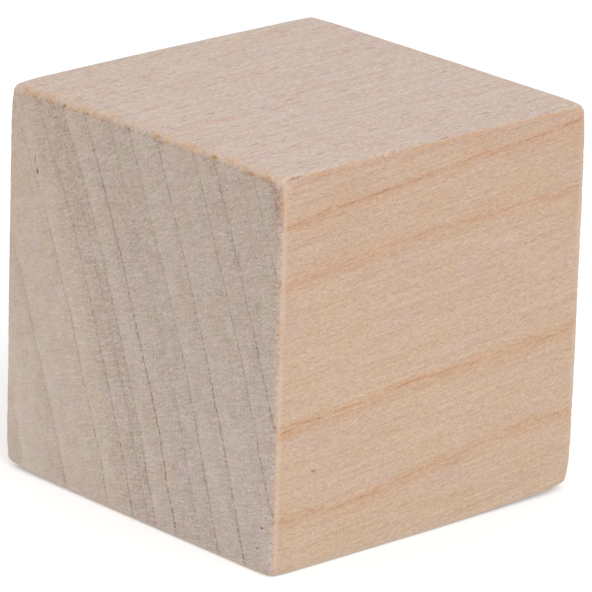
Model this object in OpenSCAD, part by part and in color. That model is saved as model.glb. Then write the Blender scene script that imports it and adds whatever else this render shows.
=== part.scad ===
// A solid wooden cube, sawn from one stick and sanded: six flat faces, edges eased,
// corners worn a little rounder than the edges, each by its own amount.
// Millimetres. +X runs along the grain, so the -X and +X faces are end grain.
// +Z is up. The origin is the centre of the bottom face.

/* [Cube] */
// Side of the cube, the same along all three axes
side = 40; // [24:1:60]
// Radius the sanding leaves along the twelve edges
edge_r = 0.6; // [0.3:0.05:0.7]

/* [Top corners] */
// Radius of the top corner between the -X end and the -Y side
top_left_front_r = 1.3; // [0.8:0.1:2.5]
// Radius of the top corner between the +X end and the -Y side
top_right_front_r = 0.9; // [0.8:0.1:2.5]
// Radius of the top corner between the +X end and the +Y side
top_right_back_r = 1; // [0.8:0.1:2.5]
// Radius of the top corner between the -X end and the +Y side
top_left_back_r = 1.2; // [0.8:0.1:2.5]

/* [Bottom corners] */
// Radius of the bottom corner between the -X end and the -Y side
bottom_left_front_r = 1.1; // [0.8:0.1:2.5]
// Radius of the bottom corner between the +X end and the -Y side
bottom_right_front_r = 1.3; // [0.8:0.1:2.5]
// Radius of the bottom corner between the +X end and the +Y side
bottom_right_back_r = 1.1; // [0.8:0.1:2.5]
// Radius of the bottom corner between the -X end and the +Y side
bottom_left_back_r = 1.1; // [0.8:0.1:2.5]
// Length of edge past each corner over which its extra wear fades out
fade = 3; // [3:0.5:8]

/* [Hidden] */
half = side / 2;
arc_steps = 32;
fade_steps = 4;
wood_tan = [0.80, 0.69, 0.60];

// A ball with a point on each of its six tips, so that it meets flat faces exactly
module ball(r) {
    rotate_extrude($fn = arc_steps)
        intersection() {
            circle(r = r, $fn = arc_steps);
            translate([0, -r])
                square([r, 2 * r]);
        }
}

// A ball near one corner of the cube, its centre set in from the three faces there
module corner_ball(toward, inset, r) {
    translate([toward.x * (half - inset.x), toward.y * (half - inset.y), half + toward.z * (half - inset.z)])
        ball(r);
}

// One worn corner: its own ball, then smaller balls along its three edges as the wear fades
module worn_corner(toward, r) {
    corner_ball(toward, [r, r, r], r);
    for (i = [1 : fade_steps]) {
        gone = i / fade_steps;
        e = edge_r + (r - edge_r) * pow(1 - gone, 2);
        past = r + fade * gone;
        corner_ball(toward, [past, e, e], e);
        corner_ball(toward, [e, past, e], e);
        corner_ball(toward, [e, e, past], e);
    }
}

module sanded_form() {
    hull() {
        worn_corner([-1, -1, 1], top_left_front_r);
        worn_corner([1, -1, 1], top_right_front_r);
        worn_corner([1, 1, 1], top_right_back_r);
        worn_corner([-1, 1, 1], top_left_back_r);
        worn_corner([-1, -1, -1], bottom_left_front_r);
        worn_corner([1, -1, -1], bottom_right_front_r);
        worn_corner([1, 1, -1], bottom_right_back_r);
        worn_corner([-1, 1, -1], bottom_left_back_r);
    }
}

// The sawn blank, less what the sanding takes off
module cube_block() {
    color(wood_tan)
        intersection() {
            translate([-half, -half, 0])
                cube(side);
            sanded_form();
        }
}

cube_block();
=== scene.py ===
"""A 40 mm cube of solid hardwood: refined mesh, solid procedural wood, studio and camera.

Lengths in this script are in millimetres unless a comment says otherwise, because the wood's
features are that small. Blender gets metres.
"""

import math
from types import SimpleNamespace

import bpy
import numpy as np
from mathutils import Matrix, Vector, noise


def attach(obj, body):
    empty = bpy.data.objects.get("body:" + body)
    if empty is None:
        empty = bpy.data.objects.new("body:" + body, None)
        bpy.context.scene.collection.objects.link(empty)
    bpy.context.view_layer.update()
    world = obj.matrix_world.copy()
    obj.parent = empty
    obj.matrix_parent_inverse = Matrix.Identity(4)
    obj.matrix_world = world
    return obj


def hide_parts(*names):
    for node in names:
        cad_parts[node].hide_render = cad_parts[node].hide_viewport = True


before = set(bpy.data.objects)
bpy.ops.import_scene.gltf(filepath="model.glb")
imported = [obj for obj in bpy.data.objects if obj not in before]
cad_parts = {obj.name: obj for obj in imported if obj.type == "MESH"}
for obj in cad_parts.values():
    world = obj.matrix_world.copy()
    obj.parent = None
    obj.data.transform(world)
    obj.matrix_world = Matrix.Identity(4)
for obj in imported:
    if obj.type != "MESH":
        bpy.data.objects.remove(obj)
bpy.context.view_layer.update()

MM = 0.001
SIDE = 40.0
HALF = SIDE / 2

# ---------------------------------------------------------------- shape
EDGE_R = 0.6
FADE = 3.0  # length of edge past each corner over which its larger radius fades out
# corner radii, keyed by the signs of x, y and z; five are a little smaller than the CAD's
CORNER_R = {
    (-1, -1, 1): 1.3,
    (1, -1, 1): 0.9,
    (1, 1, 1): 0.9,
    (-1, 1, 1): 1.0,
    (-1, -1, -1): 0.9,
    (1, -1, -1): 1.15,
    (1, 1, -1): 1.1,
    (-1, 1, -1): 0.95,
}
# how far a long wear draws each corner in along x, y and z; it fades out over WEAR_REACH
CORNER_WEAR = {
    (-1, -1, 1): (0.07, 0.0, 0.29),
    (1, -1, 1): (0.0, 0.05, 0.0),
    (1, 1, 1): (0.07, 0.0, 0.0),
    (-1, 1, 1): (0.05, 0.06, 0.23),
    (1, -1, -1): (0.0, 0.20, 0.52),
    (-1, 1, -1): (0.0, 0.0, 0.36),
}
WEAR_REACH = 26.0

# the radius wavers this near an edge, by shares of itself; noise is in cycles per millimetre
WAVER_NEAR = 2.0
SLOW_WAVER, SLOW_CYCLES = 0.10, (0.13, 0.13, 0.13)
QUICK_WAVER, QUICK_CYCLES = 0.08, (0.5, 0.9, 0.9)
# torn fibres: shallow chips along the edges round both end-grain faces
CHIP_DEPTH = 0.14
CHIP_CYCLES = (0.5, 2.1, 2.1)
CHIP_ABOVE = 0.05  # noise above this tears a chip
CHIP_REACH = 1.2  # distance in from the end face at which the chips have faded out
CHIP_SLANT = 0.232  # 1 less the largest part of the normal, from where the chips are full
CHIP_FAINT = 0.02  # chips weaker than this share are left out
NOISE_SHIFT = (17.3, 5.1, 9.7)  # gives each seed a part of the noise of its own

RIM_FINE = 8  # closely spaced rows next to each edge
RIM_ROWS = 12  # rows kept at full density next to each edge
RIM_WIDTH = 0.7
MIDDLE = 216  # segments between the closely spaced rows
STEP = 4  # the flat middle of a face keeps one lattice line in STEP


def lattice():
    """The positions of the lattice lines along one side of the cube."""
    rim = np.linspace(0, RIM_WIDTH, RIM_FINE + 1)
    middle = np.linspace(RIM_WIDTH, SIDE - RIM_WIDTH, MIDDLE + 1)
    return np.concatenate([rim[:-1], middle, SIDE - rim[::-1][1:]]) - HALF


def surface(last):
    """Vertices as triples of lattice lines 0 to last, and the faces over them.

    The faces are small next to the cube's edges and large in the middle of its sides.
    """
    index = {}
    triples = []
    faces = []

    def at(axis, level, p, q):
        triple = [0, 0, 0]
        triple[axis] = level
        triple[(axis + 1) % 3] = p
        triple[(axis + 2) % 3] = q
        key = tuple(triple)
        if key not in index:
            index[key] = len(triples)
            triples.append(key)
        return index[key]

    def add(axis, level, ring):
        if level == 0:
            ring = ring[::-1]
        faces.append([at(axis, level, p, q) for p, q in ring])

    low, high = RIM_ROWS, last - RIM_ROWS
    # a large face has a point at every lattice line where it borders on small ones
    fine, coarse = range(STEP), [0]
    for axis in range(3):
        for level in (0, last):
            for p in range(last):
                for q in range(last):
                    if low <= p < high and low <= q < high:
                        continue
                    add(axis, level, [(p, q), (p + 1, q), (p + 1, q + 1), (p, q + 1)])
            for p in range(low, high, STEP):
                for q in range(low, high, STEP):
                    p_end = p + STEP
                    q_end = q + STEP
                    ring = [(p + s, q) for s in (fine if q == low else coarse)]
                    ring += [(p_end, q + s) for s in (fine if p_end == high else coarse)]
                    ring += [(p_end - s, q_end) for s in (fine if q_end == high else coarse)]
                    ring += [(p, q_end - s) for s in (fine if p == low else coarse)]
                    add(axis, level, ring)
    return np.array(triples), faces


def noise_at(chosen, points, cycles, seed):
    """Perlin noise, about -1 to 1, at the chosen points and 0 at the others."""
    shift = Vector([seed * amount for amount in NOISE_SHIFT])
    cycles = Vector(cycles)
    values = np.zeros(len(points))
    values[chosen] = [noise.noise(Vector(point) * cycles + shift) for point in points[chosen]]
    return values


def rounded(points):
    """The sharp cube's points moved onto the sanded form, with its chips."""
    inset = HALF - np.abs(points)
    along = inset.max(axis=1)
    signs = np.where(points >= 0, 1, -1)
    corner = np.array([CORNER_R[tuple(s)] for s in signs])
    gone = np.clip((along - corner) / FADE, 0, 1)
    radius = EDGE_R + (corner - EDGE_R) * (1 - gone) ** 2
    near_edge = np.sort(inset, axis=1)[:, 1] < WAVER_NEAR
    slow = noise_at(near_edge, points, SLOW_CYCLES, 1)
    quick = noise_at(near_edge, points, QUICK_CYCLES, 2)
    radius = (radius * (1 + SLOW_WAVER * slow + QUICK_WAVER * quick))[:, None]
    centre = np.clip(points, radius - HALF, HALF - radius)
    out = points - centre
    length = np.linalg.norm(out, axis=1, keepdims=True)
    normal = out / np.maximum(length, 1e-9)
    worn = centre + radius * normal
    slant = np.clip((1 - np.abs(normal).max(axis=1)) / CHIP_SLANT, 0, 1)
    share = slant * np.clip(1 - inset[:, 0] / CHIP_REACH, 0, 1)
    torn = noise_at(share > CHIP_FAINT, points, CHIP_CYCLES, 3)
    chip = np.clip(torn - CHIP_ABOVE, 0, 1) * CHIP_DEPTH
    return worn - normal * (chip * share)[:, None]


def out_of_square(points):
    """The points with each corner of the cube drawn in by its long wear."""
    moved = points.copy()
    for signs, amount in CORNER_WEAR.items():
        away = np.linalg.norm(points - np.array(signs) * HALF, axis=1)
        fall = np.clip(1 - away / WEAR_REACH, 0, 1) ** 2
        moved -= fall[:, None] * np.array(signs) * np.array(amount)
    return moved


def build_cube():
    lines = lattice()
    triples, faces = surface(len(lines) - 1)
    points = rounded(lines[triples])
    lift = np.array([0, 0, HALF])  # from round the cube's centre to standing on the floor
    mesh = bpy.data.meshes.new("cube_wood")
    mesh.from_pydata(((out_of_square(points) + lift) * MM).tolist(), [], faces)
    # the wood's figure is laid out on the square cube, in millimetres
    figure = mesh.attributes.new("figure_place", "FLOAT_VECTOR", "POINT")
    figure.data.foreach_set("vector", (points + lift).ravel())
    mesh.validate()
    mesh.shade_smooth()
    obj = bpy.data.objects.new("cube_wood", mesh)
    bpy.context.scene.collection.objects.link(obj)
    return obj


# ---------------------------------------------------------------- node helpers
def srgb(r, g, b):
    """A colour written as 0 to 255 screen values, as the linear colour a socket takes."""
    def line(v):
        v /= 255
        return v / 12.92 if v <= 0.04045 else ((v + 0.055) / 1.055) ** 2.4
    return (line(r), line(g), line(b), 1.0)


def opaque(colour):
    """A colour of three numbers with the fourth that a socket takes; anything else as it is."""
    return (*colour, 1.0) if isinstance(colour, tuple) and len(colour) == 3 else colour


class Nodes:
    """Short calls that add a shader node and return its output; called n below."""

    def __init__(self, tree):
        self.tree = tree

    def add(self, kind, values=(), out=0, **settings):
        node = self.tree.nodes.new(kind)
        for name, value in settings.items():
            setattr(node, name, value)
        pairs = values.items() if isinstance(values, dict) else enumerate(values)
        for slot, value in pairs:
            if isinstance(value, bpy.types.NodeSocket):
                self.tree.links.new(value, node.inputs[slot])
            else:
                node.inputs[slot].default_value = value
        return node.outputs[out]

    def math(self, operation, *values):
        return self.add("ShaderNodeMath", values, operation=operation)

    def vector(self, operation, *values):
        out = "Value" if operation == "LENGTH" else "Vector"
        return self.add("ShaderNodeVectorMath", values, out=out, operation=operation)

    def product(self, first, *others):
        for other in others:
            first = self.math("MULTIPLY", first, other)
        return first

    def plus(self, base, value, weight):
        """base with weight times value added."""
        return self.math("MULTIPLY_ADD", value, weight, base)

    def split(self, vector):
        node = self.tree.nodes.new("ShaderNodeSeparateXYZ")
        self.tree.links.new(vector, node.inputs[0])
        return node.outputs[:]

    def join(self, x, y, z):
        return self.add("ShaderNodeCombineXYZ", (x, y, z))

    def noise(self, vector, scale=1.0, detail=2.0, roughness=0.5):
        values = {"Vector": vector, "Scale": scale, "Detail": detail, "Roughness": roughness}
        return self.add("ShaderNodeTexNoise", values)

    def wave(self, vector, **settings):
        """Noise about 0."""
        return self.math("SUBTRACT", self.noise(vector, **settings), 0.5)

    def voronoi(self, vector, out):
        return self.add("ShaderNodeTexVoronoi", {"Vector": vector, "Scale": 1.0}, out=out)

    def step(self, value, start, end, low=0.0, high=1.0):
        """low at start, high at end, with a smooth ramp between and flat outside."""
        values = {"Value": value, "From Min": start, "From Max": end, "To Min": low, "To Max": high}
        return self.add("ShaderNodeMapRange", values, interpolation_type="SMOOTHSTEP")

    def blend(self, factor, a, b):
        """The number a where factor is 0, and b where it is 1."""
        return self.add("ShaderNodeMix", {0: factor, 2: a, 3: b})

    def mix(self, factor, a, b, blend_type="MIX"):
        """The colour a where factor is 0, and b where it is 1."""
        values = {0: factor, 6: opaque(a), 7: opaque(b)}
        return self.add("ShaderNodeMix", values, out=2, data_type="RGBA", blend_type=blend_type)

    def tint(self, factor, colour, by):
        """The colour, multiplied by another as far as factor says."""
        return self.mix(factor, colour, by, blend_type="MULTIPLY")

    def swing(self, factor, colour, tints):
        """The colour with the first of two tints where factor is 0, and the second where it is 1."""
        return self.tint(1.0, colour, self.mix(factor, *tints))

    def ramp(self, value, stops):
        """A grey level for a value of 0 to 1, straight lines between the stops."""
        node = self.tree.nodes.new("ShaderNodeValToRGB")
        self.tree.links.new(value, node.inputs[0])
        elements = node.color_ramp.elements
        while len(elements) < len(stops):
            elements.new(0.5)
        for element, (place, level) in zip(elements, stops):
            element.position = place
            element.color = (level, level, level, 1)
        return node.outputs[0]


# ---------------------------------------------------------------- wood
# The pith runs behind the cube and below it: its y and z at the -X end, and how far each
# moves for each millimetre along +X.
PITH_Y, PITH_Z = 196.6, -55.2
LEAN_Y, LEAN_Z = -0.0441, -0.0427
RING_ZERO = 219.92  # distance from the pith at which depth is 0
SPIRAL = 0.12  # how far the fibres climb round the stem for each millimetre along it
# growth rings: depth outwards, strength of the line, how light the wood is just before it and
# just after it, and how far it has moved out at +X
RINGS = [
    (-31.9, 0.15, 0.55, 0.95, 0.00),
    (-27.6, 0.20, 0.70, 0.65, 0.00),
    (-25.7, 0.38, 0.45, 0.80, 0.00),
    (-19.4, 0.60, 0.60, 0.80, 0.00),
    (-15.8, 0.75, 0.25, 0.45, 0.00),
    (-13.7, 0.42, 0.15, 0.25, 0.00),
    (-12.5, 0.65, 0.15, 0.70, 0.00),
    (-9.6, 1.20, 0.35, 0.60, 0.00),
    (-6.2, 0.30, 0.30, 0.50, 0.00),
    (-3.7, 0.70, 0.35, 0.70, 0.00),
    (-0.1, 0.95, 0.45, 0.65, 0.00),
    (4.88, 0.75, 0.45, 0.55, -0.25),
    (7.6, 1.00, 0.30, 0.50, -0.20),
    (12.6, 0.70, 0.40, 0.45, 0.00),
    (14.8, 0.80, 0.40, 0.50, 0.58),
]
LINE_FULL = 0.02  # a ring's line is at full strength this near it
LINE_GONE_SIDE, LINE_GONE_END = 0.075, 0.22  # and has faded out at these distances
HALO_BEFORE, HALO_AFTER = 0.55, 0.30  # reach of the warm band round a line on the sides
TONE_BEFORE, TONE_AFTER = 0.15, 0.35  # where the two lightnesses of a ring are reached
TONE_LOW, TONE_HIGH = -37.0, 19.0  # depths between which the wood's lightness is laid out
TONE_START = 0.6
# how the rings waver: seed, cycles per millimetre, noise detail, amount on the sides and ends
WAVERS = [
    (11.0, (0.05, 0.08, 0.08), 1.0, 0.9, 0.9),
    (23.0, (0.22, 0.35, 0.35), 1.0, 0.28, 0.28),
    (31.0, (0.9, 1.6, 1.6), 2.0, 0.16, 0.24),
    (37.0, (1.1, 4.0, 4.0), 1.0, 0.20, 0.0),
]

# noises drawn out along the grain: seed, cycles per millimetre, detail, roughness
STREAKS = {
    # fine structure
    "pores": (5.0, (1.1, 3.8, 4.8), 3.0, 0.8),
    "fibre": (9.0, (0.6, 1.6, 1.6), 2.0, 1.0),
    "thread": (15.0, (1.6, 5.8, 5.8), 1.0, 0.8),
    "hair": (17.0, (0.10, 4.0, 4.0), 1.0, 0.8),
    "rays": (19.0, (1.6, 0.8, 5.5), 1.0, 0.5),
    "clump": (41.0, (0.16, 0.9, 0.5), 2.0, 0.6),
    # slow changes of colour
    "hue": (53.0, (0.2, 0.5, 0.5), 2.0, 0.7),
    "straw": (57.0, (0.25, 0.8, 0.4), 2.0, 0.75),
    "pink": (59.0, (0.23, 0.62, 0.62), 2.0, 0.7),
    "patch": (61.0, (0.06, 0.16, 0.16), 1.0, 0.5),
    "lilac": (65.0, (0.16, 0.42, 0.42), 1.0, 0.5),
    "blush": (67.0, (0.3, 0.35, 0.35), 2.0, 0.6),
    # what breaks up the ring lines
    "blotch": (71.0, (0.5, 3.0, 4.2), 2.0, 0.7),
    "strand": (83.0, (0.14, 1.5, 3.4), 2.0, 0.6),
    "frayed": (87.0, (0.45, 3.2, 5.0), 2.0, 0.7),
}
GRIT_CYCLES = 4.5
FURROW_CYCLES = (0.10, 1.5, 1.5)
FURROW_SLANT = -0.07  # sideways for each millimetre along +X
SLIVER_CYCLES = (0.7, 4.5, 4.5)
# dark flecks: seed and cycles per millimetre, the size of their core and of their fading
# outline, and a ramp over a random number for each, which leaves the low ones out
SPECK_PLACES, SPECK_CORE, SPECK_OUTLINE = (3.0, (0.85, 2.8, 4.0)), 0.12, 0.40
SPECK_PICK = 0.35, 0.9
FLECK_PLACES, FLECK_CORE = (7.0, (0.32, 2.6, 3.0)), 0.10
FLECK_OUTLINE_TOP, FLECK_OUTLINE_SIDE = 0.36, 0.20
FLECK_PICK = 0.42, 0.80

# base colours, and how strongly each texture shades the wood on each kind of face
END_WARM, END_GREY = (199, 180, 165), (194, 177, 165)
TOP_BASE, SIDE_BASE = (202, 182, 167), (204, 175, 151)
END_GRIT, END_PORES, END_RAYS, END_CLUMP, END_TONE = 1.05, 0.80, 0.48, 0.30, 0.24
END_LIFT = 0.01
TOP_GRIT, TOP_FIBRE, TOP_THREAD, TOP_FURROW = 0.62, 0.16, 0.95, 0.31
SIDE_GRIT, SIDE_THREAD, SIDE_HAIR, SIDE_CLUMP = 0.80, 0.60, 0.33, 0.04
# shading moves green and blue further than red
END_DEPTH, TOP_DEPTH, SIDE_DEPTH = (0.80, 1.0, 1.12), (0.72, 1.0, 1.20), (0.73, 1.0, 1.12)

# ramps: where each starts and ends, and its values there where they aren't 0 and 1
END_FACE = 0.70, 0.90  # by the normal's part along x, plus END_FACE_Y times its y part squared
END_FACE_Y = 0.45
FLAT_SAWN_FACE = 0.55, 0.92  # by the normal's part along y
EVENLY = -0.2, 0.2  # over a noise about 0
END_GREYS = -22.0, -4.0  # by depth, which patches move by up to half of END_PATCHES
END_PATCHES = 14.0
END_TONES = 0.2, 0.6
END_PAINTED_LIGHT_HEIGHTS = 2.0, 36.0
SPECK_BY_TONE = 0.15, 0.7, 0.34, 0.16
COARSE_BY_DEPTH = -30.0, -12.0, 0.6, 1.0
COARSE_BY_TONE = 0.2, 0.7, 1.15, 0.9
INK_BLOTCHES = -0.08, 0.12, 0.10, 1.0
INK_BY_HEIGHT = 34.0, 8.0, 0.75, 1.2
INK_WARMS = 0.0, 0.16
TOP_TURNS_PINK = -0.08, 0.22
SIDE_CHANGES_HUE = -0.22, 0.2
SIDE_PAINTED_LIGHT_DEPTHS = 4.0, 17.0  # by depth
SIDE_TURNS_LILAC = 0.08, 0.22
BAND_SEEPS = 1.0, 5.0, 1.35, 1.0  # by distance from the -X end
BAND_STRANDS = -0.2, 0.08, 0.55, 1.0
WISP_FRAYS = 0.0, 0.12
CORE_BREAKS = -0.12, 0.16, 0.05, 1.0

# pairs of tints that a slow noise, the height or the depth swings between
END_HUES = (0.992, 1.006, 0.99), (1.010, 0.988, 1.0)
END_STRAWS = (1.0, 1.0, 1.05), (1.0, 0.998, 0.95)
END_BLUSHES = (0.988, 1.011, 1.006), (1.012, 0.988, 0.994)
END_BY_TONE = (0.995, 1.0, 1.02), (1.0, 1.0, 0.997)
# painted light from the floor: the end faces lighter low down, darker and warmer high up
END_PAINTED_LIGHT_BY_HEIGHT = (1.026, 1.044, 1.058), (0.985, 0.972, 0.950)
TOP_PINKS = (1.0, 1.012, 1.0), (1.018, 0.925, 0.952)
TOP_STRAWS = (1.0, 1.0, 1.05), (1.0, 0.996, 0.95)
SIDE_HUES = (1.0, 1.010, 1.030), (0.997, 0.975, 0.947)
# painted light from the floor: the sides lighter where the depth is small, low down on the -Y side, darker
# and more golden where it is large
SIDE_PAINTED_LIGHT_BY_DEPTH = (1.012, 1.035, 1.035), (0.975, 0.955, 0.955)
SIDE_LILACS = (1.0, 0.998, 0.99), (1.0, 1.0, 1.07)

# flecks and ring lines: colours or tints, each with its strength
INK_COOL, INK_WARM, INK = (118, 100, 90), (142, 102, 86), 0.68
TOP_FLECK, TOP_FLECKED = (164, 128, 116), 0.78
SIDE_FLECK, SIDE_FLECKED = (176, 138, 110), 0.45
BAND_TINT, BAND = (0.99, 0.865, 0.74), 0.70
WISP_TINT, WISP = (0.90, 0.76, 0.68), 0.62
CORE_TINT, CORE = (0.86, 0.69, 0.60), 0.70

# edges: colours or tints, each with its strength where that isn't 1
STAINED_CORNER = (-HALF, -HALF, SIDE)
OUTLINE_R = 2.2  # corner radius of the grey part of an end face, as its outline is stained
BLEACH_TINT = (1.02, 1.08, 1.17)
TUFT_CREAM, TUFT_GOLD, TUFT = (206, 178, 154), (200, 162, 124), 0.85
# a painted highlight on the sides along the upright edges, pale or warm
PAINTED_HIGHLIGHT_PALE, PAINTED_HIGHLIGHT_WARM, PAINTED_HIGHLIGHT = (220, 193, 172), (217, 178, 146), 0.48
RUST_TINT = (0.995, 0.895, 0.80)
BROWN_TINT = (0.90, 0.80, 0.74)
RIM_BROWN, RIM = (156, 108, 86), 0.55
STRAND_GOLD = (202, 158, 114)
# painted shade on the sides just below the top edges
PAINTED_SHADE_UNDER_EDGE_TINT = (0.955, 0.935, 0.93)
# painted light on the bottom edges' rounding, which makes up for the floor's shadow there
PAINTED_LIGHT_FOOT_CREAM, PAINTED_LIGHT_FOOT = (228, 208, 190), 0.40
PAINTED_LIGHT_FOOT_TINT = (1.16, 1.11, 1.03)
CORNER_CREAM, CORNER = (218, 198, 174), 0.28

# ramps at the edges, by distance in from a face or an edge, or by a noise
UPPER_HALF = 12.0, 28.0  # by height
UPRIGHT_EDGE = 0.5, -0.5  # by how much nearer the top or bottom is than the side
STAIN_REACH = 5.0, 2.5
BLEACH_FAR = 37.0, 41.0  # from the stained corner
BLEACH_EDGE = 1.0, 0.2
TUFT_ON_END, TUFT_ON_END_RAGGED = (0.90, 0.48), 0.5
TUFT_ON_TOP, TUFT_ON_TOP_RAGGED = (0.90, 0.35), 1.5
TUFT_GROUPS = 0.36, 0.58, 0.25, 0.95
TUFT_NIBS = 0.38, 0.56, 0.45, 1.0
TUFT_GILDS = 0.42, 0.60
PAINTED_HIGHLIGHT_WARMS = 0.45, 0.62
PAINTED_HIGHLIGHT_FAR, PAINTED_HIGHLIGHT_RAGGED = (1.05, 0.55), 0.35
PAINTED_HIGHLIGHT_NEAR = 0.18, 0.42
PAINTED_HIGHLIGHT_ROUND = 0.45, 0.2
RUST_PATCHES = 0.40, 0.66, 0.30, 1.0
RUST_FROM_Y, RUST_FROM_END = (0.80, 0.30), (0.50, 0.20)
BROWN_FROM_Y, BROWN_FROM_END, BROWN_REACH = (1.1, 0.3), (0.55, 0.25), (5.5, 2.5)
RIM_PLACE, RIM_RAGGED = 0.68, 0.7
RIM_CORE, RIM_HALF, RIM_HALF_STAINED = 0.04, 0.18, 0.40
RIM_FROM_END = 0.35, 0.12
RIM_NIBS, RIM_NIBS_STAINED = (0.48, 0.60), 0.10
RIM_LEVEL, RIM_UPRIGHT = 0.7, 0.3
LONG_EDGE = 0.60, 0.25
LONG_EDGE_FROM_END = 0.4, 1.0
LONG_EDGE_TURNS_DOWN = 0.88, 0.6  # by the normal's upright part
STRAND_GROUPS = 0.42, 0.62, 0.15, 0.60
STRAND_SLIVERS = -0.12, 0.12, 0.4, 1.0
PAINTED_SHADE_UNDER_EDGE_FROM_Z, PAINTED_SHADE_UNDER_EDGE_FROM_Y = (1.3, 0.5), (0.7, 0.3)
ROUNDING_OFF = 0.75, 0.40
PAINTED_LIGHT_FOOT_CREAMS, PAINTED_LIGHT_FOOT_LIGHTENS = (0.55, 0.25), (0.70, 0.05)
CORNER_FADES, CORNER_RAGGED = (0.85, 0.55), -0.5

# surface
ROUGH_SIDE, ROUGH_END, ROUGH_WEAVE = 0.52, 0.68, 0.16
RELIEF_WEAVE, RELIEF_SPECK = 0.5, 0.8
BUMP_STRENGTH = 0.5
BUMP_DISTANCE = 0.00004  # metres
INDEX_OF_REFRACTION = 1.5
SPECULAR_LEVEL = 0.4

# spots and nicks: centre, half sizes, colour, strength
MARKS = [
    # on the -X end
    ((-20.0, 15.9, 33.0), (0.6, 0.16, 1.0), (150, 112, 98), 0.45),
    ((-20.0, 15.5, 31.9), (0.6, 0.17, 0.36), (105, 78, 66), 0.9),
    ((-20.0, -18.5, 4.8), (0.6, 0.13, 0.13), (84, 76, 58), 0.95),
    ((-20.0, -18.0, 2.6), (0.6, 0.12, 0.12), (84, 76, 58), 0.9),
    # on the -Y side
    ((-15.0, -20.0, 9.9), (0.34, 0.6, 0.11), (146, 116, 90), 0.9),
    ((9.3, -20.0, 36.9), (0.18, 0.6, 0.10), (165, 118, 90), 0.8),
    ((-12.5, -20.0, 33.0), (0.25, 0.6, 0.12), (160, 138, 122), 0.6),
    ((-18.4, -20.0, 33.1), (0.8, 0.6, 0.07), (196, 146, 110), 0.6),
    ((-14.8, -20.0, 37.6), (0.7, 0.6, 0.08), (188, 140, 106), 0.6),
    # along the top edges of those two faces
    ((-18.2, -19.9, 39.75), (0.9, 0.5, 0.16), (170, 130, 106), 0.8),
    ((-20.0, -10.3, 39.7), (0.7, 0.42, 0.24), (172, 124, 74), 0.9),
    ((-20.0, -8.8, 39.8), (0.7, 0.22, 0.14), (190, 144, 98), 0.7),
    ((-20.0, -2.2, 39.7), (0.7, 0.40, 0.16), (184, 138, 94), 0.8),
    ((-20.0, -2.7, 39.2), (0.5, 0.42, 0.20), (158, 128, 122), 0.6),
    ((-20.0, -9.0, 39.15), (0.5, 0.34, 0.16), (158, 128, 120), 0.6),
    ((-20.0, 2.0, 39.35), (0.5, 0.28, 0.18), (160, 118, 98), 0.7),
    ((-20.0, 8.2, 39.5), (0.5, 0.30, 0.16), (156, 122, 102), 0.6),
    ((-20.0, 11.6, 39.5), (0.5, 0.24, 0.22), (150, 110, 78), 0.8),
    ((-20.0, 15.4, 39.0), (0.5, 0.60, 0.26), (166, 134, 124), 0.5),
    ((-20.0, -15.6, 39.45), (0.5, 0.50, 0.16), (178, 126, 102), 0.8),
    ((-20.0, -17.9, 39.6), (0.5, 0.34, 0.20), (188, 138, 100), 0.7),
]
MARK_FADES = 0.4, 1.2  # in half sizes from the centre
MARK_RAGGED = 2.2  # how far the grit breaks up a mark's outline


class Grain:
    """Coordinates in the stem: along the grain, outwards across the rings, round the rings."""

    def __init__(self, n, place):
        self.n = n
        x, y, z = n.split(place)
        self.run = n.math("ADD", x, HALF)
        across_y = n.plus(n.math("SUBTRACT", PITH_Y, y), self.run, LEAN_Y)
        across_z = n.plus(n.math("SUBTRACT", z, PITH_Z), self.run, -LEAN_Z)
        radius = n.vector("LENGTH", n.join(0.0, across_y, across_z))
        self.depth = n.math("SUBTRACT", radius, RING_ZERO)
        turn = n.math("MULTIPLY", n.math("ARCTAN2", across_z, across_y), RING_ZERO)
        self.place = n.join(self.run, self.depth, n.plus(turn, self.run, -SPIRAL))

    def stretched(self, seed, cycles):
        moved = self.n.vector("ADD", self.place, (seed, seed * 2.0, seed * 3.0))
        return self.n.vector("MULTIPLY", moved, cycles)

    def streaks(self, seed, cycles, detail, roughness=0.5):
        """Noise about 0, drawn out along the grain."""
        return self.n.wave(self.stretched(seed, cycles), detail=detail, roughness=roughness)

    def dashes(self, places, core, outline, pick):
        """Dark flecks drawn out along the grain: 1 at their core, some left out."""
        n = self.n
        where = self.stretched(*places)
        dash = n.step(n.voronoi(where, "Distance"), outline, core)
        random = n.split(n.voronoi(where, "Color"))[0]
        return n.product(dash, n.step(random, *pick))


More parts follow.
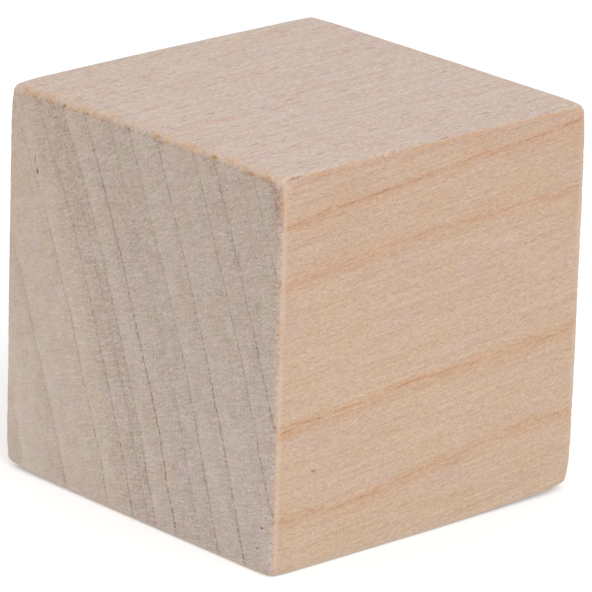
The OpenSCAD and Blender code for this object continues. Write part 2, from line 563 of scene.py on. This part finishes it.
def textures(n, place, normal):
    """The kind of face, the ring figure and the noises, as named values over the surface."""
    wood = SimpleNamespace()
    x, y, wood.z = n.split(place)
    nx, ny, wood.nz = (n.math("ABSOLUTE", v) for v in n.split(normal))
    wood.end = n.step(n.plus(nx, n.product(ny, ny), END_FACE_Y), *END_FACE)
    wood.flat_sawn = n.step(ny, *FLAT_SAWN_FACE)

    grain = Grain(n, place)
    wood.run, wood.depth = grain.run, grain.depth
    for name, values in STREAKS.items():
        setattr(wood, name, grain.streaks(*values))
    wood.grit = n.wave(place, scale=GRIT_CYCLES, roughness=0.8)
    straight = n.join(wood.run, n.plus(y, wood.run, FURROW_SLANT), wood.z)
    straight = n.vector("MULTIPLY", straight, FURROW_CYCLES)
    wood.furrow = n.wave(straight, detail=1.0, roughness=0.7)
    wood.speck = grain.dashes(SPECK_PLACES, SPECK_CORE, SPECK_OUTLINE, SPECK_PICK)
    outline = n.blend(wood.flat_sawn, FLECK_OUTLINE_TOP, FLECK_OUTLINE_SIDE)
    wood.fleck = grain.dashes(FLECK_PLACES, FLECK_CORE, outline, FLECK_PICK)
    wood.strawed = n.step(wood.straw, *EVENLY)

    # the rings waver slowly, and their lines more finely
    ring = wood.depth
    for seed, cycles, detail, on_sides, on_ends in WAVERS:
        amount = n.blend(wood.end, on_sides, on_ends)
        ring = n.plus(ring, grain.streaks(seed, cycles, detail), amount)
    wood.line = wood.halo = 0.0
    line_gone = n.blend(wood.end, LINE_GONE_SIDE, LINE_GONE_END)
    for depth, strength, _, _, drift in RINGS:
        past = n.plus(n.math("SUBTRACT", ring, depth), wood.run, -drift / SIDE)
        thin = n.step(n.math("ABSOLUTE", past), LINE_FULL, line_gone, strength, 0.0)
        rise = n.step(past, -HALO_BEFORE, 0.0, 0.0, strength)
        wide = n.product(rise, n.step(past, 0.0, HALO_AFTER, 1.0, 0.0))
        wood.line = n.math("MAXIMUM", wood.line, thin)
        wood.halo = n.math("MAXIMUM", wood.halo, wide)
    stops = [(TONE_LOW, TONE_START)]
    for depth, _, before, after, _ in RINGS:
        stops += [(depth - TONE_BEFORE, before), (depth + TONE_AFTER, after)]
    span = TONE_HIGH - TONE_LOW
    stops = [((depth - TONE_LOW) / span, light) for depth, light in stops]
    wood.tone = n.ramp(n.math("DIVIDE", n.math("SUBTRACT", ring, TONE_LOW), span), stops)
    return wood


def shaded(n, colour, amount, depth):
    """The colour lightened by amount, times depth for red, green and blue."""
    scale = n.vector("MULTIPLY", n.join(amount, amount, amount), depth)
    return n.vector("MULTIPLY", colour, n.vector("ADD", scale, (1.0, 1.0, 1.0)))


def end_colour(n, wood):
    """End grain: greyer, dotted with pores, crossed by the ring lines."""
    greyness = n.step(n.plus(wood.depth, wood.patch, END_PATCHES), *END_GREYS)
    colour = n.mix(greyness, srgb(*END_WARM), srgb(*END_GREY))
    colour = n.swing(n.step(wood.hue, *EVENLY), colour, END_HUES)
    colour = n.swing(wood.strawed, colour, END_STRAWS)
    colour = n.swing(n.step(wood.blush, *EVENLY), colour, END_BLUSHES)
    colour = n.swing(n.step(wood.tone, *END_TONES), colour, END_BY_TONE)
    # painted light from the floor: lighter low on the face, darker and warmer high up
    colour = n.swing(n.step(wood.z, *END_PAINTED_LIGHT_HEIGHTS), colour, END_PAINTED_LIGHT_BY_HEIGHT)

    dotty = n.product(wood.grit, END_GRIT)
    dotty = n.plus(dotty, wood.pores, END_PORES)
    dotty = n.plus(dotty, wood.rays, END_RAYS)
    dotty = n.math("SUBTRACT", dotty, n.product(wood.speck, n.step(wood.tone, *SPECK_BY_TONE)))
    shade = n.plus(END_LIFT, n.math("SUBTRACT", wood.tone, 0.5), END_TONE)
    shade = n.plus(shade, wood.clump, END_CLUMP)
    # the dots are fainter nearer the pith and stronger in the dark wood
    coarse = n.product(n.step(wood.depth, *COARSE_BY_DEPTH), n.step(wood.tone, *COARSE_BY_TONE))
    colour = shaded(n, colour, n.plus(shade, dotty, coarse), END_DEPTH)

    # the ring lines are blotchy, and stronger low on the face
    stroke = n.product(wood.line, n.step(wood.blotch, *INK_BLOTCHES), n.step(wood.z, *INK_BY_HEIGHT))
    ink = n.mix(n.step(wood.hue, *INK_WARMS), srgb(*INK_COOL), srgb(*INK_WARM))
    return n.mix(n.product(stroke, INK), colour, ink)


def top_colour(n, wood):
    """Wood cut along the rays: pale and pinkish, with short dark flecks."""
    colour = n.swing(n.step(wood.pink, *TOP_TURNS_PINK), srgb(*TOP_BASE), TOP_PINKS)
    colour = n.swing(wood.strawed, colour, TOP_STRAWS)
    colour = n.mix(n.product(wood.fleck, TOP_FLECKED), colour, srgb(*TOP_FLECK))
    shade = n.product(wood.grit, TOP_GRIT)
    shade = n.plus(shade, wood.fibre, TOP_FIBRE)
    shade = n.plus(shade, wood.thread, TOP_THREAD)
    shade = n.plus(shade, wood.furrow, TOP_FURROW)
    return shaded(n, colour, shade, TOP_DEPTH)


def side_colour(n, wood):
    """Wood cut across the rays: warm, with the rings as warm bands."""
    colour = n.swing(n.step(wood.hue, *SIDE_CHANGES_HUE), srgb(*SIDE_BASE), SIDE_HUES)
    # painted light from the floor, laid out by depth: lighter low on the -Y side, darker and more golden
    # high up
    colour = n.swing(n.step(wood.depth, *SIDE_PAINTED_LIGHT_DEPTHS), colour, SIDE_PAINTED_LIGHT_BY_DEPTH)
    colour = n.swing(n.step(wood.lilac, *SIDE_TURNS_LILAC), colour, SIDE_LILACS)
    colour = n.mix(n.product(wood.fleck, SIDE_FLECKED), colour, srgb(*SIDE_FLECK))
    # each ring is a warm band, stronger near the -X end, with darker wisps and a broken core line
    band = n.product(wood.halo, n.step(wood.run, *BAND_SEEPS), n.step(wood.strand, *BAND_STRANDS))
    colour = n.tint(n.product(band, BAND), colour, BAND_TINT)
    wisp = n.product(wood.halo, n.step(wood.frayed, *WISP_FRAYS))
    colour = n.tint(n.product(wisp, WISP), colour, WISP_TINT)
    broken = n.step(n.math("ADD", wood.strand, wood.frayed), *CORE_BREAKS)
    colour = n.tint(n.product(wood.line, broken, CORE), colour, CORE_TINT)
    shade = n.product(wood.grit, SIDE_GRIT)
    shade = n.plus(shade, wood.thread, SIDE_THREAD)
    shade = n.plus(shade, wood.hair, SIDE_HAIR)
    shade = n.plus(shade, wood.clump, SIDE_CLUMP)
    return shaded(n, colour, shade, SIDE_DEPTH)


def edge_places(n, place):
    """Distances in from the faces, and the noises that break up the edges' colours."""
    edge = SimpleNamespace()
    x, y, z = n.split(place)
    edge.from_end = n.math("SUBTRACT", HALF, n.math("ABSOLUTE", x))
    edge.from_y = n.math("SUBTRACT", HALF, n.math("ABSOLUTE", y))
    edge.from_z = n.math("SUBTRACT", HALF, n.math("ABSOLUTE", n.math("SUBTRACT", z, HALF)))
    edge.nearer = n.math("MINIMUM", edge.from_y, edge.from_z)
    edge.farther = n.math("MAXIMUM", edge.from_y, edge.from_z)
    # distance in from the outline of an end face, whose corners are round
    inner_y = n.math("MAXIMUM", n.math("SUBTRACT", OUTLINE_R, edge.from_y), 0.0)
    inner_z = n.math("MAXIMUM", n.math("SUBTRACT", OUTLINE_R, edge.from_z), 0.0)
    edge.from_side = n.math("SUBTRACT", OUTLINE_R, n.vector("LENGTH", n.join(inner_y, inner_z, 0.0)))
    edge.from_stain = n.vector("LENGTH", n.vector("SUBTRACT", place, STAINED_CORNER))
    edge.ragged = n.wave(place, scale=1.6, detail=3.0, roughness=0.7)
    edge.sliver = n.wave(n.vector("MULTIPLY", place, SLIVER_CYCLES), detail=1.0)
    edge.tuft = n.noise(place, scale=1.1, roughness=0.6)
    edge.nib = n.noise(place, scale=2.6, detail=1.0)
    edge.broken = n.noise(place, scale=0.33)
    edge.upper = n.step(z, *UPPER_HALF)
    edge.upright = n.step(n.math("SUBTRACT", edge.from_y, edge.from_z), *UPRIGHT_EDGE)
    edge.stained = n.step(edge.from_stain, *STAIN_REACH)
    return edge


def end_edges(n, edge, colour):
    """The colour, with the edges round the end faces."""
    # away from the stained corner, all edges are sanded paler; second is small only near an edge
    second = n.math("MAXIMUM", edge.nearer, n.math("MINIMUM", edge.farther, edge.from_end))
    bleached = n.product(n.step(second, *BLEACH_EDGE), n.step(edge.from_stain, *BLEACH_FAR))
    colour = n.tint(bleached, colour, BLEACH_TINT)

    # the top edge: cream and gold tufts of torn fibre
    on_end = n.step(n.plus(edge.from_side, edge.ragged, TUFT_ON_END_RAGGED), *TUFT_ON_END)
    on_top = n.step(n.plus(edge.from_end, edge.sliver, TUFT_ON_TOP_RAGGED), *TUFT_ON_TOP)
    present = n.product(n.step(edge.broken, *TUFT_GROUPS), n.step(edge.nib, *TUFT_NIBS))
    tufts = n.product(on_end, on_top, present, n.math("SUBTRACT", 1.0, edge.upright), edge.upper)
    gold = n.mix(n.step(edge.tuft, *TUFT_GILDS), srgb(*TUFT_CREAM), srgb(*TUFT_GOLD))
    colour = n.mix(n.product(tufts, TUFT), colour, gold)

    # the upright edges: a thin painted highlight on the side, warmer in places
    warmer = n.math("MAXIMUM", n.step(edge.broken, *PAINTED_HIGHLIGHT_WARMS), edge.stained)
    pale = n.mix(warmer, srgb(*PAINTED_HIGHLIGHT_PALE), srgb(*PAINTED_HIGHLIGHT_WARM))
    highlight_band = n.step(n.plus(edge.from_end, edge.ragged, PAINTED_HIGHLIGHT_RAGGED), *PAINTED_HIGHLIGHT_FAR)
    highlight_band = n.product(highlight_band, n.step(edge.from_end, *PAINTED_HIGHLIGHT_NEAR))
    highlight_band = n.product(highlight_band, n.step(edge.from_y, *PAINTED_HIGHLIGHT_ROUND), edge.upright)
    colour = n.mix(n.product(highlight_band, PAINTED_HIGHLIGHT), colour, pale)
    # and a rusty tinge on the end's half of them, browner at the stained corner
    patchy = n.step(n.math("ADD", edge.broken, edge.ragged), *RUST_PATCHES)
    rusty = n.product(n.step(edge.from_y, *RUST_FROM_Y), n.step(edge.from_end, *RUST_FROM_END))
    rusty = n.product(rusty, edge.upright, patchy)
    colour = n.tint(rusty, colour, RUST_TINT)
    browned = n.product(n.step(edge.from_y, *BROWN_FROM_Y), n.step(edge.from_end, *BROWN_FROM_END))
    browned = n.product(browned, n.step(edge.from_stain, *BROWN_REACH), edge.upright)
    colour = n.tint(browned, colour, BROWN_TINT)

    # a broken brown line where the end grain starts, wider at the stained corner
    off = n.math("SUBTRACT", n.plus(edge.from_side, edge.ragged, RIM_RAGGED), RIM_PLACE)
    half = n.blend(edge.stained, RIM_HALF, RIM_HALF_STAINED)
    rim = n.product(n.step(n.math("ABSOLUTE", off), half, RIM_CORE), n.step(edge.from_end, *RIM_FROM_END))
    rim = n.product(rim, n.step(n.plus(edge.nib, edge.stained, RIM_NIBS_STAINED), *RIM_NIBS))
    high = n.product(edge.upper, n.blend(edge.upright, RIM_LEVEL, RIM_UPRIGHT))
    rim = n.product(rim, n.math("MAXIMUM", high, edge.stained))
    return n.mix(n.product(rim, RIM), colour, srgb(*RIM_BROWN))


def side_edges(n, edge, nz, colour):
    """The colour, with the long edges and the painted shade below the top ones, the foot with its painted
    light, and the corners; nz is the normal's upright part.
    """
    # the top's long edges: warm strands on their lower half, and painted shade on the side just below,
    # against the key light that the edge catches
    beside = n.product(n.step(edge.farther, *LONG_EDGE), n.step(edge.from_end, *LONG_EDGE_FROM_END))
    beside = n.product(beside, n.step(nz, *LONG_EDGE_TURNS_DOWN))
    strands = n.product(n.step(edge.broken, *STRAND_GROUPS), n.step(edge.sliver, *STRAND_SLIVERS))
    colour = n.mix(n.product(beside, strands, edge.upper), colour, srgb(*STRAND_GOLD))
    below = n.product(n.step(edge.from_z, *PAINTED_SHADE_UNDER_EDGE_FROM_Z), n.step(edge.from_y, *PAINTED_SHADE_UNDER_EDGE_FROM_Y))
    colour = n.tint(n.product(below, edge.upper), colour, PAINTED_SHADE_UNDER_EDGE_TINT)

    # the bottom edges get painted light where they round off, paler and lighter, which makes up for the
    # floor's shadow on them; the underside is plain wood like the top
    rounding = n.step(n.math("MINIMUM", edge.from_end, edge.from_y), *ROUNDING_OFF)
    low = n.product(n.math("SUBTRACT", 1.0, edge.upper), rounding)
    foot = n.product(n.step(edge.from_z, *PAINTED_LIGHT_FOOT_CREAMS), low)
    colour = n.mix(n.product(foot, PAINTED_LIGHT_FOOT), colour, srgb(*PAINTED_LIGHT_FOOT_CREAM))
    colour = n.tint(n.product(n.step(edge.from_z, *PAINTED_LIGHT_FOOT_LIGHTENS), low), colour, PAINTED_LIGHT_FOOT_TINT)

    # the corners are a little paler
    inmost = n.math("MAXIMUM", edge.farther, edge.from_end)
    corner = n.step(n.plus(inmost, edge.ragged, CORNER_RAGGED), *CORNER_FADES)
    return n.mix(n.product(corner, CORNER), colour, srgb(*CORNER_CREAM))


def marked(n, place, grit, colour):
    """The colour, with the spots and nicks."""
    for centre, half_sizes, shade, strength in MARKS:
        offset = n.vector("DIVIDE", n.vector("SUBTRACT", place, centre), half_sizes)
        outline = n.plus(n.vector("LENGTH", offset), grit, MARK_RAGGED)
        colour = n.mix(n.step(outline, *MARK_FADES, strength, 0.0), colour, srgb(*shade))
    return colour


def wood_material():
    mat = bpy.data.materials.new("bare_wood")
    mat.use_nodes = True
    tree = mat.node_tree
    tree.nodes.clear()
    n = Nodes(tree)
    place = n.add("ShaderNodeAttribute", out="Vector", attribute_name="figure_place")
    wood = textures(n, place, n.add("ShaderNodeTexCoord", out="Normal"))

    sides = n.mix(wood.flat_sawn, top_colour(n, wood), side_colour(n, wood))
    colour = n.mix(wood.end, sides, end_colour(n, wood))
    edge = edge_places(n, place)
    colour = end_edges(n, edge, colour)
    colour = side_edges(n, edge, wood.nz, colour)
    colour = marked(n, place, wood.grit, colour)

    weave = n.blend(wood.end, n.math("ADD", wood.fibre, wood.thread), n.math("ADD", wood.pores, wood.grit))
    rough = n.plus(n.blend(wood.end, ROUGH_SIDE, ROUGH_END), weave, ROUGH_WEAVE)
    relief = n.math("SUBTRACT", n.product(weave, RELIEF_WEAVE), n.product(wood.speck, RELIEF_SPECK))
    values = {"Strength": BUMP_STRENGTH, "Distance": BUMP_DISTANCE, "Height": relief}
    bump = n.add("ShaderNodeBump", values)

    shader = tree.nodes.new("ShaderNodeBsdfPrincipled")
    shader.inputs["IOR"].default_value = INDEX_OF_REFRACTION
    shader.inputs["Specular IOR Level"].default_value = SPECULAR_LEVEL
    tree.links.new(colour, shader.inputs["Base Color"])
    tree.links.new(rough, shader.inputs["Roughness"])
    tree.links.new(bump, shader.inputs["Normal"])
    output = tree.nodes.new("ShaderNodeOutputMaterial")
    tree.links.new(shader.outputs[0], output.inputs[0])
    return mat


# ---------------------------------------------------------------- studio
WHITE = (1, 1, 1, 1)
FLOOR_HALF = 3.0  # metres
FLOOR_COLOUR = (0.82, 0.82, 0.82, 1)
FLOOR_GLOW = 0.3  # added for the camera alone, so that the floor shows white
WORLD_LIGHT = 0.78  # strength at which the white world lights the cube; the camera sees it at 1
KEY_TOWARDS = (-0.3, -0.8, 0.9)
KEY_DISTANCE = 0.9  # metres
KEY_SIZE = 0.6  # metres
KEY_POWER = 3.0  # watts


def add_camera_glow(tree, shader, strength):
    """The shader, with a plain white glow added where the camera looks straight at it."""
    path = tree.nodes.new("ShaderNodeLightPath")
    seen = tree.nodes.new("ShaderNodeMath")
    seen.operation = "MULTIPLY"
    seen.inputs[1].default_value = strength
    tree.links.new(path.outputs["Is Camera Ray"], seen.inputs[0])
    glow = tree.nodes.new("ShaderNodeEmission")
    glow.inputs["Color"].default_value = WHITE
    tree.links.new(seen.outputs[0], glow.inputs["Strength"])
    both = tree.nodes.new("ShaderNodeAddShader")
    tree.links.new(shader.outputs[0], both.inputs[0])
    tree.links.new(glow.outputs[0], both.inputs[1])
    return both


def build_floor():
    mesh = bpy.data.meshes.new("floor")
    r = FLOOR_HALF
    mesh.from_pydata([(-r, -r, 0), (r, -r, 0), (r, r, 0), (-r, r, 0)], [], [(0, 1, 2, 3)])
    floor = bpy.data.objects.new("floor", mesh)
    bpy.context.scene.collection.objects.link(floor)
    mat = bpy.data.materials.new("floor")
    mat.use_nodes = True
    tree = mat.node_tree
    tree.nodes.clear()
    diffuse = tree.nodes.new("ShaderNodeBsdfDiffuse")
    diffuse.inputs["Color"].default_value = FLOOR_COLOUR
    both = add_camera_glow(tree, diffuse, FLOOR_GLOW)
    output = tree.nodes.new("ShaderNodeOutputMaterial")
    tree.links.new(both.outputs[0], output.inputs[0])
    mesh.materials.append(mat)


def build_world():
    world = bpy.data.worlds.new("studio")
    bpy.context.scene.world = world
    world.use_nodes = True
    tree = world.node_tree
    tree.nodes.clear()
    path = tree.nodes.new("ShaderNodeLightPath")
    level = tree.nodes.new("ShaderNodeMapRange")
    level.inputs["To Min"].default_value = WORLD_LIGHT
    level.inputs["To Max"].default_value = 1.0
    tree.links.new(path.outputs["Is Camera Ray"], level.inputs["Value"])
    background = tree.nodes.new("ShaderNodeBackground")
    background.inputs["Color"].default_value = WHITE
    tree.links.new(level.outputs[0], background.inputs["Strength"])
    output = tree.nodes.new("ShaderNodeOutputWorld")
    tree.links.new(background.outputs[0], output.inputs[0])


def build_key_light():
    """A square soft box aimed at the middle of the cube."""
    light = bpy.data.lights.new("key", "AREA")
    light.shape = "SQUARE"
    light.size = KEY_SIZE
    light.energy = KEY_POWER
    obj = bpy.data.objects.new("key", light)
    direction = Vector(KEY_TOWARDS).normalized()
    obj.location = direction * KEY_DISTANCE + Vector((0, 0, HALF * MM))
    obj.rotation_euler = direction.to_track_quat("Z", "Y").to_euler()
    bpy.context.scene.collection.objects.link(obj)


# ---------------------------------------------------------------- camera
CAMERA_AZIMUTH = 47.522  # degrees, from the -X axis towards -Y
CAMERA_HEIGHT = 18.407  # degrees
CAMERA_ROLL = 1.657  # degrees
CAMERA_DISTANCE = 14.196  # sides
FOCAL_PIXELS = 5761.9
FRAME_PIXELS = 592
SENSOR_WIDTH = 36
CLIP_NEAR, CLIP_FAR = 0.01, 20  # metres
AIM = (0.00624, -0.00624, 0.47668)  # sides, from the centre of the bottom face


def build_camera():
    az, el, roll = (math.radians(v) for v in (CAMERA_AZIMUTH, CAMERA_HEIGHT, CAMERA_ROLL))
    back = Vector((-math.cos(az) * math.cos(el), -math.sin(az) * math.cos(el), math.sin(el)))
    right = (-back).cross(Vector((0, 0, 1))).normalized()
    up = right.cross(-back)
    tilted_right = right * math.cos(roll) + up * math.sin(roll)
    tilted_up = up * math.cos(roll) - right * math.sin(roll)
    data = bpy.data.cameras.new("camera")
    data.sensor_width = SENSOR_WIDTH
    data.lens = FOCAL_PIXELS * SENSOR_WIDTH / FRAME_PIXELS
    data.clip_start = CLIP_NEAR
    data.clip_end = CLIP_FAR
    camera = bpy.data.objects.new("camera", data)
    place = (Vector(AIM) + back * CAMERA_DISTANCE) * SIDE * MM
    axes = Matrix((tilted_right, tilted_up, back)).transposed()
    camera.matrix_world = Matrix.Translation(place) @ axes.to_4x4()
    bpy.context.scene.collection.objects.link(camera)
    bpy.context.scene.camera = camera


build_camera()
cube = build_cube()
cube.data.materials.append(wood_material())
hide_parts("cube_block")
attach(cube, "root")
build_floor()
build_world()
build_key_light()
bpy.context.scene.view_settings.view_transform = "Standard"
